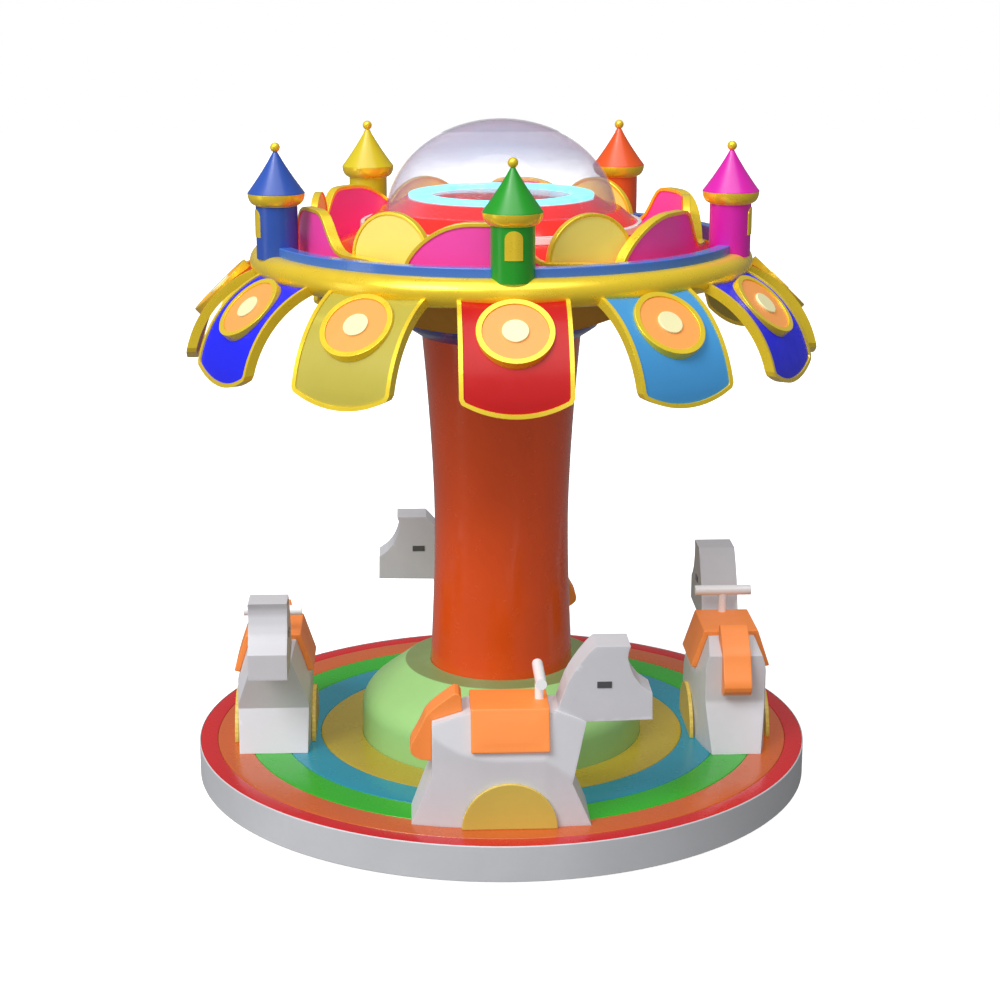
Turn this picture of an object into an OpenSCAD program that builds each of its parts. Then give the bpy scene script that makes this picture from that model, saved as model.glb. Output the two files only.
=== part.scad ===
// Four-seat powered merry go round: padded turntable with four foam horses, a flared column and a
// castle canopy that turn together on a slewing ring, driven by a pinion from a floor frame.
// Origin: centre of the turntable on the floor. +Z is up. A horse and a turret face -Y.

/* [Turntable] */
// Outer diameter of the turntable
table_d = 2400; // [2200:20:2800]
// Height of the walking surface above the floor
table_h = 142; // [140:1:170]
// Clearance between the turning skirt and the floor
floor_gap = 8; // [6:1:14]
// Thickness of the foam pads on top
pad_t = 24; // [15:1:30]
// Thickness of the plywood deck
deck_t = 18; // [12:1:20]
// Thickness of the foam skirt
skirt_t = 20; // [14:1:30]

/* [Mound] */
// Radius of the mound at the deck
mound_r = 554; // [500:2:590]
// Radius of the flat top of the mound
mound_top_r = 380; // [340:2:400]
// Height of the mound above the walking surface
mound_h = 288; // [180:2:300]

/* [Column] */
// Outer radius of the column at the mound
column_foot_r = 280; // [240:1:300]
// Outer radius at the waist
column_waist_r = 261; // [220:1:270]
// Outer radius at the top
column_top_r = 305; // [280:1:330]
// Height of the column above the walking surface
column_h = 1600; // [1400:10:1800]
// Wall thickness of the column shell
column_wall = 10; // [5:1:15]
// Outer radius of the steel mast inside the column
mast_r = 95; // [70:1:110]
// Wall thickness of the mast
mast_wall = 6; // [4:1:10]

/* [Canopy] */
// Radius of the gold rim tube's centre line
rim_r = 896; // [860:2:940]
// Radius of the gold rim tube itself
rim_tube_r = 52; // [44:1:58]
// Height of the rim tube's centre above the column's top
rim_rise = 286; // [270:2:320]
// Outer radius of the blue collar
collar_r = 378; // [350:1:410]
// Height of the blue collar
collar_h = 51; // [40:1:70]
// Width of the blue band wall
band_w = 48; // [30:1:60]
// Height of the blue band above the middle of the rim tube
band_h = 84; // [76:1:100]
// Wall thickness of the canopy shells
shell_t = 8; // [5:1:10]

/* [Crown] */
// Number of waves, discs and their spacing round the crown
crown_n = 6; // [5:1:7]
// Outer radius of the wavy wall
crown_r = 762; // [740:1:775]
// Thickness of the wavy wall
crown_t = 24; // [16:1:28]
// Height of a wave above the canopy floor
wave_h = 198; // [150:2:230]
// Radius of a crown disc
disc_r = 170; // [140:1:180]
// Distance of the discs from the axis
disc_at = 694; // [670:1:694]

/* [Dome] */
// Outer radius of the clear dome
dome_r = 436; // [400:2:450]
// Height of the clear dome
dome_h = 328; // [280:2:360]
// Wall thickness of the dome
dome_t = 5; // [3:1:8]
// Outer radius of the light ring
light_r = 350; // [300:2:356]
// Width of the light ring
light_w = 82; // [50:1:100]

/* [Turrets] */
// Number of turrets
turret_n = 5; // [3:1:5]
// Outer radius of a turret
turret_r = 76; // [60:1:80]
// Height of a turret's wall
turret_h = 236; // [200:2:260]
// Radius of a turret's roof at the eaves
roof_r = 104; // [90:1:115]
// Height of a turret's roof
roof_h = 148; // [120:2:180]
// Radius of the ball on a roof
ball_r = 18; // [14:1:22]

/* [Petals] */
// Number of petals
petal_n = 12; // [8:1:12]
// Width of a petal
petal_w = 384; // [320:2:390]
// Outer radius of a petal's curve
petal_curve_r = 413; // [400:1:425]
// Thickness of a petal
petal_t = 28; // [20:1:34]
// Width of a petal's border
border_w = 15; // [8:1:22]
// Height of the border above the panel
border_rise = 5; // [2:1:8]
// Outer radius of a petal's medallion
medal_r = 133; // [110:1:140]
// Width of the medallion's ring
medal_ring_w = 20; // [12:1:28]
// Height of the medallion's ring
medal_h = 12; // [8:1:18]
// Radius of the medallion's button
button_r = 46; // [35:1:60]

/* [Horses] */
// Number of horses
horse_n = 4; // [2:1:4]
// Distance of the horses from the axis
horse_at = 894; // [880:2:910]
// Half the width of a horse's body
body_hw = 143; // [120:1:150]
// Half the width of a horse's head
head_hw = 73; // [60:1:85]
// Height of a horse's back above the walking surface
back_h = 413; // [380:1:440]
// Thickness of the saddle
saddle_t = 20; // [8:1:20]
// Length of the saddle
saddle_l = 278; // [220:2:290]
// Radius of the half disc on a horse's side
side_disc_r = 170; // [140:1:180]
// Thickness of the half disc
side_disc_t = 15; // [8:1:20]
// Radius of the handlebar
bar_r = 20; // [14:1:22]
// Length of the handlebar
bar_l = 225; // [160:5:260]

/* [Drive] */
// Gear module of the ring gear and its pinion
gear_module = 6; // [5:0.5:6]
// Teeth on the ring gear
ring_teeth = 72; // [68:1:76]
// Teeth on the pinion
pinion_teeth = 18; // [16:1:20]
// Radius of a support roller
roller_r = 19; // [16:0.5:19]
// Width of a support roller
roller_w = 30; // [20:1:36]
// Distance of the support rollers from the axis
roller_at = 1055; // [1000:5:1060]
// Radius of a roller's axle
axle_r = 6; // [4:0.5:7]

/* [Hidden] */
$fn = 96;

// Clearances: between bodies that rest on each other, and in a running fit
seat_gap = 0.3;
run_gap = 0.05;

// Colours
red = [0.86, 0.12, 0.16];
orange = [0.90, 0.42, 0.20];
green = [0.22, 0.70, 0.16];
teal = [0.12, 0.58, 0.70];
olive = [0.80, 0.70, 0.24];
gold = [0.95, 0.74, 0.14];
royal = [0.13, 0.16, 0.85];
sky = [0.30, 0.62, 0.88];
white = [0.93, 0.93, 0.93];
steel = [0.55, 0.57, 0.60];

// Turntable
table_r = table_d / 2;
skirt_lip = 4;
pad_z = table_h - pad_t;
deck_z = pad_z - deck_t;
frame_t = 20;
frame_z = deck_z - frame_t;
pad_gap = 0.6;
// Outer radius of each coloured ring as a share of the walking surface
ring_share = [1, 0.94, 0.837, 0.723, 0.60];
spoke_n = 8;
spoke_w = 60;
track_r1 = roller_at - roller_w / 2 - 25;
track_r2 = roller_at + roller_w / 2 + 25;
hub_r = 230;

// Floor frame
foot_h = 12;
foot_r = 35;
beam_h = 28;
beam_w = 60;
beam_z = foot_h;
beam_top = beam_z + beam_h;
beam_end = roller_at + roller_w / 2 + 30;
arm_n = 4;
roller_z = frame_z - seat_gap - roller_r;
cheek_t = 8;

// Slewing ring and gears
slew_r = 170;
slew_inner_r = 130;
gear_h = 20;
gear_z = frame_z - gear_h;
ring_pitch_r = gear_module * ring_teeth / 2;
pinion_pitch_r = gear_module * pinion_teeth / 2;
pinion_x = ring_pitch_r + pinion_pitch_r;
tooth_add = 0.8 * gear_module;
tooth_ded = 1.15 * gear_module;
shaft_r = 10;
gearbox_w = 90;
gearbox_z = beam_z + 8;
gearbox_h = gear_z - gearbox_z - 4;
gearbox_end = pinion_x + pinion_pitch_r + tooth_add + 8;
motor_r = 28;
motor_l = 185;
fin_h = 2;

// Column and canopy heights
mound_z = table_h + mound_h;
column_top = table_h + column_h;
collar_z = column_top - 2;
dish_z = collar_z + collar_h;
rim_z = column_top + rim_rise;
band_z = rim_z + band_h;
floor_z = rim_z + 24;
riser_z = floor_z + 88;
riser_h = 29;
riser_r = 534;
riser_w = 20;
dome_z = riser_z + 76;
light_z = dome_z + 40;
light_h = 15;
band_in = rim_r - 8 - band_w;
band_out = rim_r - 8;
rim_lip = (rim_tube_r + seat_gap) / sqrt(2);
frame_arm_z = rim_z - rim_lip + shell_t + seat_gap;

// Petal curve: its centre, and the angles of its root and tip above the horizontal
petal_c_r = 772;
petal_c_z = rim_z - 403;
petal_hw = petal_w / 2;
petal_tip_z = petal_c_z + 31;
medal_angle = 46;

// Crown
wave_start = -21.5;
wave_step = 360 / crown_n;
crown_turn = -10;
bead_h = 13;
wave_rise = 19;
edge_low = 36;
bead_out = 6;
disc_turn = 34;
disc_t = 20;
disc_rim_w = 12;
disc_z = floor_z + 46;

// Turrets
turret_at = rim_r - 25;
turret_z = rim_z + 38;
eaves_z = turret_z + turret_h;
turret_collar_h = 44;
turret_wall = 6;
window_t = 3;
window_w = 62;
window_h = 100;
window_z = turret_z + 80;

// Horse outline, from the walking surface: the foot, the body and the head
foot_back = -364;
foot_front = 275;
rump_x = -289;
neck_x = 156;
throat = [259, 369];
eaves_h = 252;
head_top = 647;
slope = (body_hw - head_hw) / 211;
saddle_x = -152;
bar_x = 95;
bar_h = 524;

// ---------- shared shapes ----------

// Ring standing on z = 0
module ring(r_out, r_in, h) {
  difference() {
    cylinder(r = r_out, h = h);
    translate([0, 0, -1])
      cylinder(r = r_in, h = h + 2);
  }
}

// Copies children n times round the axis, the first one facing -Y
module around(n, first = 0) {
  for (i = [0 : n - 1])
    rotate([0, 0, first + i * 360 / n])
      children();
}

// The rim tube's body, grown by a clearance
module rim_solid(grow) {
  translate([0, 0, rim_z])
    rotate_extrude()
      translate([rim_r, 0])
        circle(r = rim_tube_r + grow, $fn = 48);
}

// Spur gear with straight-flanked teeth, one tooth facing +X when turned by 0
module gear_outline(teeth, turn) {
  pitch_r = gear_module * teeth / 2;
  root_r = pitch_r - tooth_ded;
  tip_r = pitch_r + tooth_add;
  pitch_angle = 360 / teeth;
  root_half = 0.29 * pitch_angle;
  tip_half = 0.13 * pitch_angle;
  polygon([
    for (i = [0 : teeth - 1])
      for (p = [[root_r, -root_half], [tip_r, -tip_half], [tip_r, tip_half], [root_r, root_half]])
        let (a = turn + i * pitch_angle + p[1])
          [p[0] * cos(a), p[0] * sin(a)]
  ]);
}

// ---------- floor frame, fixed ----------

module base_frame() {
  color(steel)
    difference() {
      union() {
        translate([0, 0, beam_z])
          cylinder(r = hub_r, h = beam_h);
        around(arm_n, 45)
          translate([-beam_w / 2, -beam_end, beam_z])
            cube([beam_w, beam_end - hub_r + 40, beam_h]);
        translate([hub_r - 30, -gearbox_w / 2, beam_z])
          cube([gearbox_end - hub_r + 30, gearbox_w, gearbox_z - beam_z]);
        translate([-520, -100, beam_z])
          cube([520 - hub_r + 30, 200, 6]);
      }
      translate([0, 0, beam_z - 1])
        cylinder(r = 24, h = beam_h + 2);
      translate([pinion_x - gearbox_w / 2 - 1, -gearbox_w / 2 - 1, gearbox_z])
        cube([gearbox_w + 2, gearbox_w + 2, beam_h]);
    }
}

module rubber_feet() {
  color([0.12, 0.12, 0.13])
    around(arm_n, 45) {
      translate([0, -(beam_end - 45), 0])
        cylinder(r = foot_r, h = foot_h);
      translate([0, -(hub_r - 45), 0])
        cylinder(r = foot_r, h = foot_h);
    }
}

module slewing_inner_ring() {
  color([0.42, 0.43, 0.46])
    translate([0, 0, beam_top])
      difference() {
        union() {
          cylinder(r = slew_r, h = frame_z - seat_gap - beam_top);
          cylinder(r = slew_r + 14, h = gear_z - seat_gap - beam_top);
        }
        translate([0, 0, -1])
          cylinder(r = slew_inner_r, h = 100);
      }
}

module gear_motor() {
  color([0.20, 0.23, 0.27]) {
    difference() {
      union() {
        translate([pinion_x - gearbox_w / 2, -gearbox_w / 2, gearbox_z])
          cube([gearbox_end - pinion_x + gearbox_w / 2, gearbox_w, gearbox_h]);
        translate([gearbox_end - 3, 0, gearbox_z + motor_r])
          rotate([0, 90, 0])
            cylinder(r = motor_r, h = motor_l, $fn = 48);
        for (i = [0 : 4])
          translate([gearbox_end + 40 + i * 22, 0, gearbox_z + motor_r])
            rotate([0, 90, 0])
              cylinder(r = motor_r + fin_h, h = 6, $fn = 48);
      }
      translate([pinion_x, 0, gearbox_z + gearbox_h - 20])
        cylinder(r = shaft_r, h = 21);
      translate([pinion_x, -gearbox_w, gearbox_z - 10])
        cube([400, 2 * gearbox_w, 10]);
    }
  }
}

module roller_mounts() {
  color(steel)
    around(arm_n, 45)
      translate([0, -roller_at, 0]) {
        for (side = [-1, 1])
          translate([-beam_w / 2, side * (roller_w / 2 + 2 + cheek_t / 2) - cheek_t / 2, beam_top])
            cube([beam_w, cheek_t, roller_z + 9 - beam_top]);
        translate([0, roller_w / 2 + 2 + cheek_t, roller_z])
          rotate([90, 0, 0])
            cylinder(r = axle_r - run_gap, h = roller_w + 4 + 2 * cheek_t, $fn = 48);
      }
}

module control_box() {
  color([0.30, 0.32, 0.35])
    difference() {
      translate([-510, -90, beam_z + 6])
        cube([190, 180, 50]);
      translate([-511, -20, beam_z + 20])
        cube([19, 40, 24]);
    }
}

module slip_ring() {
  color([0.16, 0.16, 0.18]) {
    translate([0, 0, beam_top])
      cylinder(r = 40, h = 10);
    translate([0, 0, beam_top + 10])
      cylinder(r = 30, h = 60);
  }
}

// ---------- drive pinion and rollers ----------

module drive_pinion() {
  color([0.62, 0.60, 0.52])
    translate([pinion_x, 0, 0]) {
      translate([0, 0, gear_z + 1])
        linear_extrude(gear_h - 2)
          gear_outline(pinion_teeth, 180 / pinion_teeth + 180);
      translate([0, 0, gearbox_z + gearbox_h - 19.5])
        cylinder(r = shaft_r - run_gap, h = gear_z + 2 - gearbox_z - gearbox_h + 19.5);
    }
}

module roller(i) {
  color([0.18, 0.18, 0.20])
    rotate([0, 0, 45 + (i - 1) * 360 / arm_n])
      translate([0, -roller_at + roller_w / 2, roller_z])
        rotate([90, 0, 0])
          difference() {
            rotate_extrude($fn = 96)
              polygon([
                [0, 0], [roller_r - 2, 0], [roller_r, 2],
                [roller_r, roller_w - 2], [roller_r - 2, roller_w], [0, roller_w]
              ]);
            translate([0, 0, -1])
              cylinder(r = axle_r, h = roller_w + 2, $fn = 48);
          }
}

module roller_1() { roller(1); }
module roller_2() { roller(2); }
module roller_3() { roller(3); }
module roller_4() { roller(4); }

// ---------- turntable ----------

module ring_gear() {
  color([0.50, 0.51, 0.54])
    translate([0, 0, gear_z])
      difference() {
        linear_extrude(gear_h)
          gear_outline(ring_teeth, 0);
        translate([0, 0, -1])
          cylinder(r = slew_r + run_gap, h = gear_h + 2, $fn = 128);
      }
}

module turntable_frame() {
  color(steel)
    translate([0, 0, frame_z])
      difference() {
        union() {
          cylinder(r = hub_r, h = frame_t);
          around(spoke_n)
            translate([-spoke_w / 2, -track_r1 - 10, 0])
              cube([spoke_w, track_r1 + 10 - hub_r + 40, frame_t]);
          ring(track_r2, track_r1, frame_t);
        }
        translate([0, 0, -1])
          cylinder(r = 60, h = frame_t + 2);
      }
}

module deck_board() {
  color([0.72, 0.56, 0.38])
    translate([0, 0, deck_z])
      ring(table_r - skirt_t - seat_gap, 152, deck_t);
}

module skirt() {
  color(white)
    rotate_extrude($fn = 180)
      polygon([
        [table_r - skirt_t, floor_gap], [table_r - 2, floor_gap], [table_r, floor_gap + 2],
        [table_r, table_h - 3], [table_r - 3, table_h], [table_r - skirt_lip, table_h],
        [table_r - skirt_lip, pad_z - seat_gap], [table_r - skirt_t, pad_z - seat_gap]
      ]);
}

// One coloured ring of the walking surface
module pad(i, r_in) {
  r_out = i == 0 ? table_r - skirt_lip - seat_gap : ring_share[i] * table_r - pad_gap / 2;
  translate([0, 0, pad_z])
    ring(r_out, r_in, pad_t, $fn = 180);
}

module pad_red() {
  color(red)
    pad(0, ring_share[1] * table_r + pad_gap / 2);
}

module pad_orange() {
  color(orange)
    pad(1, ring_share[2] * table_r + pad_gap / 2);
}

module pad_green() {
  color(green)
    pad(2, ring_share[3] * table_r + pad_gap / 2);
}

module pad_teal() {
  color(teal)
    pad(3, ring_share[4] * table_r + pad_gap / 2);
}

module pad_yellow() {
  color(olive)
    pad(4, mound_r + pad_gap / 2);
}

// Straight wall, rounded eaves and a slope up to the flat top
module mound() {
  crest_at = [mound_top_r, mound_z];
  eaves_at = [mound_r, table_h + mound_h * 0.55];
  below = eaves_at - [0, 60];
  above = eaves_at + (crest_at - eaves_at) * 0.35;
  color([0.62, 0.86, 0.52])
    rotate_extrude($fn = 128)
      polygon(concat(
        [[column_foot_r + seat_gap, pad_z], [mound_r, pad_z]],
        [for (t = [0 : 0.125 : 1]) below * pow(1 - t, 2) + eaves_at * 2 * t * (1 - t) + above * pow(t, 2)],
        [crest_at, [column_foot_r + seat_gap, mound_z]]
      ));
}

module mast() {
  top = frame_arm_z - deck_z;
  color([0.60, 0.62, 0.64])
    translate([0, 0, deck_z])
      difference() {
        union() {
          cylinder(r = mast_r, h = top);
          cylinder(r = 150, h = 12);
        }
        translate([0, 0, -1])
          cylinder(r = mast_r - mast_wall, h = top + 2);
        around(8)
          translate([0, -122, -1])
            cylinder(r = 7, h = 14, $fn = 32);
      }
}

// Outer radius of the column at a height above the walking surface
waist_at = 870;
function taper(h) = sin(90 * (h - mound_h) / (waist_at - mound_h));
function flare(h) = pow((h - waist_at) / (column_h - waist_at), 1.55);
function column_r(h) =
  h < mound_h ? column_foot_r :
  h < waist_at ? column_foot_r - (column_foot_r - column_waist_r) * taper(h) :
  column_waist_r + (column_top_r - column_waist_r) * flare(h);

module column_shell() {
  heights = concat([0], [for (i = [0 : 22]) mound_h + i * (column_h - mound_h) / 22]);
  color([0.85, 0.30, 0.13])
    rotate_extrude($fn = 128)
      polygon(concat(
        [[column_foot_r, pad_z]],
        [for (h = heights) [column_r(h), table_h + h]],
        [for (i = [len(heights) - 1 : -1 : 0]) [column_r(heights[i]) - column_wall, table_h + heights[i]]],
        [[column_foot_r - column_wall, pad_z]]
      ));
}

// ---------- canopy ----------

module canopy_frame() {
  arm_w = 44;
  arm_h = 20;
  color(steel)
    difference() {
      translate([0, 0, frame_arm_z])
        union() {
          cylinder(r = 200, h = arm_h);
          around(8) {
            translate([-arm_w / 2, -rim_r, 0])
              cube([arm_w, rim_r - 150, arm_h]);
            translate([0, -disc_at - 60, 0])
              cylinder(r = 18, h = floor_z - shell_t - seat_gap - frame_arm_z);
          }
        }
      rim_solid(seat_gap);
    }
}

module collar() {
  color([0.08, 0.12, 0.45])
    rotate_extrude($fn = 128)
      polygon([
        [column_top_r - 20, column_top + seat_gap], [column_top_r + seat_gap, column_top + seat_gap],
        [column_top_r + seat_gap, collar_z - 4], [column_top_r + 5, collar_z - 4],
        [collar_r - 34, collar_z + 18], [collar_r - 12, collar_z + 33],
        [collar_r, dish_z], [column_top_r - 20, dish_z]
      ]);
}

// Shallow gold cone between the collar and the rim tube
module canopy_dish() {
  color(gold)
    rotate_extrude($fn = 128)
      polygon([
        [column_top_r - 20, dish_z], [collar_r, dish_z], [rim_r - 68, rim_z - 62],
        [rim_r - rim_lip, rim_z - rim_lip], [rim_r - rim_lip - shell_t, rim_z - rim_lip + shell_t],
        [rim_r - 78, rim_z - 62 + shell_t], [collar_r, dish_z + shell_t],
        [column_top_r - 20, dish_z + shell_t]
      ]);
}

module rim_tube() {
  color(gold)
    difference() {
      rim_solid(0);
      translate([0, 0, rim_z])
        rotate_extrude()
          translate([rim_r, 0])
            circle(r = rim_tube_r - shell_t, $fn = 48);
    }
}

// Upright cylinder at the foot of every turret
module turret_cut(grow) {
  around(turret_n)
    translate([0, -turret_at, turret_z - 20])
      cylinder(r = turret_r + grow, h = turret_h);
}

module rim_band() {
  color([0.22, 0.42, 0.80])
    difference() {
      rotate_extrude($fn = 180)
        polygon([
          [band_in, rim_z + 30], [band_out, rim_z + 30], [band_out, band_z - 3],
          [band_out - 3, band_z], [band_in + 2, band_z], [band_in, band_z - 2]
        ]);
      rim_solid(seat_gap);
      turret_cut(seat_gap);
    }
}

module canopy_floor() {
  foot_in = riser_r - riser_w - 2;
  slope_r = disc_at - 20;
  color(red)
    difference() {
      rotate_extrude($fn = 128)
        polygon([
          [0, light_z - shell_t], [light_r + 6, light_z - shell_t], [dome_r - 18, dome_z - shell_t],
          [dome_r + 6, dome_z - shell_t], [foot_in - 6, riser_z + 14], [foot_in - 6, riser_z - shell_t],
          [riser_r - 2, riser_z - shell_t], [slope_r - 4, floor_z - shell_t],
          [band_in - seat_gap, floor_z - shell_t], [band_in - seat_gap, floor_z], [slope_r, floor_z],
          [riser_r, riser_z], [foot_in, riser_z], [foot_in, riser_z + riser_h - 2],
          [dome_r + 16, dome_z], [dome_r - 14, dome_z], [light_r + 10, light_z], [0, light_z]
        ]);
      rim_solid(seat_gap);
    }
}

module riser_ring() {
  color(white)
    translate([0, 0, riser_z + seat_gap])
      rotate_extrude($fn = 128)
        polygon([
          [riser_r - riser_w, 0], [riser_r - 2, 0], [riser_r - 2, riser_h - 4],
          [riser_r - 6, riser_h], [riser_r - riser_w, riser_h]
        ]);
}

// Height of the crown's edge above the canopy floor at an angle from a wave's crest:
// a steep rounded rise, an even fall and a low shoulder before the next wave
function rise(a) = pow(max(0, 1 - pow(a / wave_rise, 2)), 0.75);
function fall(a) = 1 / (1 + pow(a / 13.8, 7));
function shoulder(a) = 1 / (1 + pow((a - 26) / 7, 4));
function crest(a) = a < 0 ? rise(a) : fall(a);
function edge_h(a) = edge_low + (wave_h - edge_low) * crest(a) + edge_low * 0.4 * shoulder(a);
function edge_at(a) = [crown_r * sin(a), edge_h(a)];

// The edge moved inwards by the thickness of the bead
function inset_at(a) =
  let (p = edge_at(a - 0.2), q = edge_at(a + 0.2), t = (q - p) / norm(q - p))
  (p + q) / 2 + bead_h * [t[1], -t[0]];

// Closely spaced where a wave rises
function wave_angles() = [
  wave_start - 2, -wave_rise - 0.6,
  for (i = [0 : 12]) -wave_rise * cos(7.5 * i),
  for (i = [1 : 24]) i * (wave_start + wave_step + 3) / 24
];

// One wave as a flat outline inside its bead, and the bead itself
module panel_outline() {
  angles = wave_angles();
  polygon(concat(
    [for (a = angles) inset_at(a)],
    [[inset_at(angles[len(angles) - 1])[0], 0], [inset_at(angles[0])[0], 0]]
  ));
}

module bead_outline() {
  angles = wave_angles();
  last = len(angles) - 1;
  polygon(concat(
    [for (a = angles) edge_at(a)],
    [for (i = [last : -1 : 0]) inset_at(angles[i])]
  ));
}

// Wedge that holds one wave, a hair narrower than its share of the circle
module wave_sector(r) {
  slit = 0.025;
  linear_extrude(floor_z + wave_h + 60)
    polygon([
      [0, 0],
      for (a = [wave_start + slit, wave_start + wave_step / 2, wave_start + wave_step - slit])
        [r * sin(a), -r * cos(a)]
    ]);
}

// Bends a wave's outline round the circle of the crown
module crown_wall(r_out, r_in) {
  around(crown_n, crown_turn)
    intersection() {
      translate([0, 0, floor_z])
        ring(r_out, r_in, wave_h + 60);
      wave_sector(2 * r_out);
      translate([0, -r_in * 0.6, floor_z + seat_gap])
        rotate([90, 0, 0])
          linear_extrude(r_out)
            children();
    }
}

module crown_panels() {
  color([0.90, 0.28, 0.62])
    crown_wall(crown_r, crown_r - crown_t)
      panel_outline();
}

module crown_trims() {
  color(gold)
    crown_wall(crown_r + bead_out, crown_r - crown_t - bead_out)
      bead_outline();
}

// Upright round plate facing outwards, cut off at the canopy floor
module crown_plate(r, r_in, t) {
  around(crown_n, crown_turn + disc_turn)
    intersection() {
      translate([0, -disc_at + t / 2, disc_z])
        rotate([90, 0, 0])
          difference() {
            cylinder(r = r, h = t);
            if (r_in > 0)
              translate([0, 0, -1])
                cylinder(r = r_in, h = t + 2);
          }
      translate([-r, -disc_at - 50, floor_z + seat_gap])
        cube([2 * r, 100, 2 * r]);
    }
}

module crown_discs() {
  color([0.98, 0.86, 0.42])
    crown_plate(disc_r - disc_rim_w - seat_gap, 0, disc_t);
}

module crown_disc_rims() {
  color(gold)
    crown_plate(disc_r, disc_r - disc_rim_w, disc_t + 8);
}

module light_ring() {
  color([0.45, 0.95, 1.0])
    translate([0, 0, light_z + seat_gap])
      ring(light_r, light_r - light_w, light_h);
}

// Points of a dome's outline: an ellipse from the seat to the top
dome_low = 34;
function dome_arc(r, h, n) =
  let (start = asin(dome_low / (h + dome_low)))
  [for (i = [0 : n])
    let (a = start + i * (90 - start) / n)
      [i == n ? 0 : r * cos(a), (h + dome_low) * sin(a) - dome_low]];

module dome() {
  outer = dome_arc(dome_r, dome_h, 20);
  inner = dome_arc(dome_r - dome_t, dome_h - dome_t, 20);
  color([0.86, 0.90, 1.0, 0.35])
    translate([0, 0, dome_z + seat_gap])
      rotate_extrude($fn = 128)
        polygon(concat(outer, [for (i = [20 : -1 : 0]) inner[i]]));
}

// ---------- turrets ----------

// Turret wall and roof, as two solids, at the given place round the rim
module turret(i, tint) {
  tip_r = 8;
  color(tint)
    rotate([0, 0, i * 360 / turret_n])
      difference() {
        translate([0, -turret_at, 0]) {
          difference() {
            translate([0, 0, turret_z])
              cylinder(r = turret_r, h = turret_h - turret_collar_h);
            translate([0, 0, turret_z + 14])
              cylinder(r = turret_r - turret_wall, h = turret_h);
          }
          translate([0, 0, eaves_z])
            rotate_extrude($fn = 64)
              polygon(concat(
                [[0, 0], [roof_r, 0]],
                [for (k = [0 : 8])
                  let (u = k / 8)
                    [tip_r + (roof_r - tip_r) * (1 - u) * (1 - 0.16 * u), 2 + (roof_h - 2) * u]],
                [[0, roof_h]]
              ));
        }
        rim_solid(seat_gap);
      }
}

module turret_green() { turret(0, [0.16, 0.60, 0.16]); }
module turret_magenta() { turret(1, [0.80, 0.16, 0.70]); }
module turret_orange() { turret(2, [0.86, 0.36, 0.14]); }
module turret_yellow() { turret(3, [0.86, 0.78, 0.16]); }
module turret_blue() { turret(4, [0.14, 0.30, 0.70]); }

module turret_collars() {
  flare_w = roof_r - turret_r - 1;
  color(gold)
    around(turret_n)
      translate([0, -turret_at, eaves_z - turret_collar_h])
        rotate_extrude($fn = 64)
          polygon([
            [0, 0], [turret_r + 1, 0],
            for (k = [0 : 6])
              [turret_r + 1 + flare_w * sin(15 * k), 2 + (turret_collar_h - 2) * (1 - cos(15 * k))],
            [0, turret_collar_h]
          ]);
}

module turret_balls() {
  color(gold)
    around(turret_n)
      translate([0, -turret_at, eaves_z + roof_h + sqrt(ball_r * ball_r - 64)])
        intersection() {
          sphere(r = ball_r, $fn = 48);
          translate([-ball_r, -ball_r, -sqrt(ball_r * ball_r - 64)])
            cube([2 * ball_r, 2 * ball_r, 2 * ball_r]);
        }
}

// Shallow arched plate that follows the turret's wall
module turret_windows() {
  color(gold)
    around(turret_n)
      translate([0, -turret_at, 0])
        intersection() {
          translate([0, 0, window_z - 1])
            ring(turret_r + window_t, turret_r + seat_gap, window_h + 2);
          translate([0, 0, window_z])
            rotate([90, 0, 0])
              linear_extrude(2 * turret_r)
                polygon([
                  [-window_w / 2, 0], [window_w / 2, 0], [window_w / 2, window_h * 0.72],
                  for (a = [15 : 15 : 165])
                    [window_w / 2 * cos(a), window_h * (0.72 + 0.28 * sin(a))],
                  [-window_w / 2, window_h * 0.72]
                ]);
        }
}

// ---------- petals ----------

// Outline of a petal seen from outside, shrunk by inset
module petal_outline(inset) {
  hw = petal_hw - inset;
  bow_r = 370;
  corner = 26 - inset / 2;
  tip = petal_tip_z + inset;
  drop = bow_r - sqrt(bow_r * bow_r - (hw - corner) * (hw - corner));
  polygon(concat(
    [[-hw, rim_z], [-hw, tip + drop + corner], [-hw + corner * 0.3, tip + drop + corner * 0.36]],
    [for (i = [-7 : 7])
      let (x = i * (hw - corner) / 7)
        [x, tip + bow_r - sqrt(bow_r * bow_r - x * x)]],
    [[hw - corner * 0.3, tip + drop + corner * 0.36], [hw, tip + drop + corner], [hw, rim_z]]
  ));
}

// Curved slab between two radii of the petal's curve
module petal_strip(r_in, r_out) {
  translate([0, -petal_c_r, petal_c_z])
    rotate([0, 0, -90])
      rotate([90, 0, 0])
        rotate_extrude(angle = 78, $fn = 160)
          translate([r_in, -petal_hw - 20])
            square([r_out - r_in, petal_w + 40]);
}

module petal_prism(inset) {
  translate([0, -petal_c_r, 0])
    rotate([90, 0, 0])
      linear_extrude(petal_curve_r + 60)
        petal_outline(inset);
}

module petal_panels(places, tint) {
  color(tint)
    for (i = places)
      if (i < petal_n)
        rotate([0, 0, i * 360 / petal_n])
          difference() {
            intersection() {
              petal_strip(petal_curve_r - petal_t, petal_curve_r);
              petal_prism(border_w + seat_gap);
            }
            rim_solid(seat_gap);
          }
}

module petal_panels_red() { petal_panels([0, 3, 6, 9], red); }
module petal_panels_sky() { petal_panels([1, 5], sky); }
module petal_panels_royal() { petal_panels([2, 7, 10], royal); }
module petal_panels_yellow() { petal_panels([4, 11], olive); }
module petal_panels_green() { petal_panels([8], [0.30, 0.62, 0.20]); }

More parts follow.
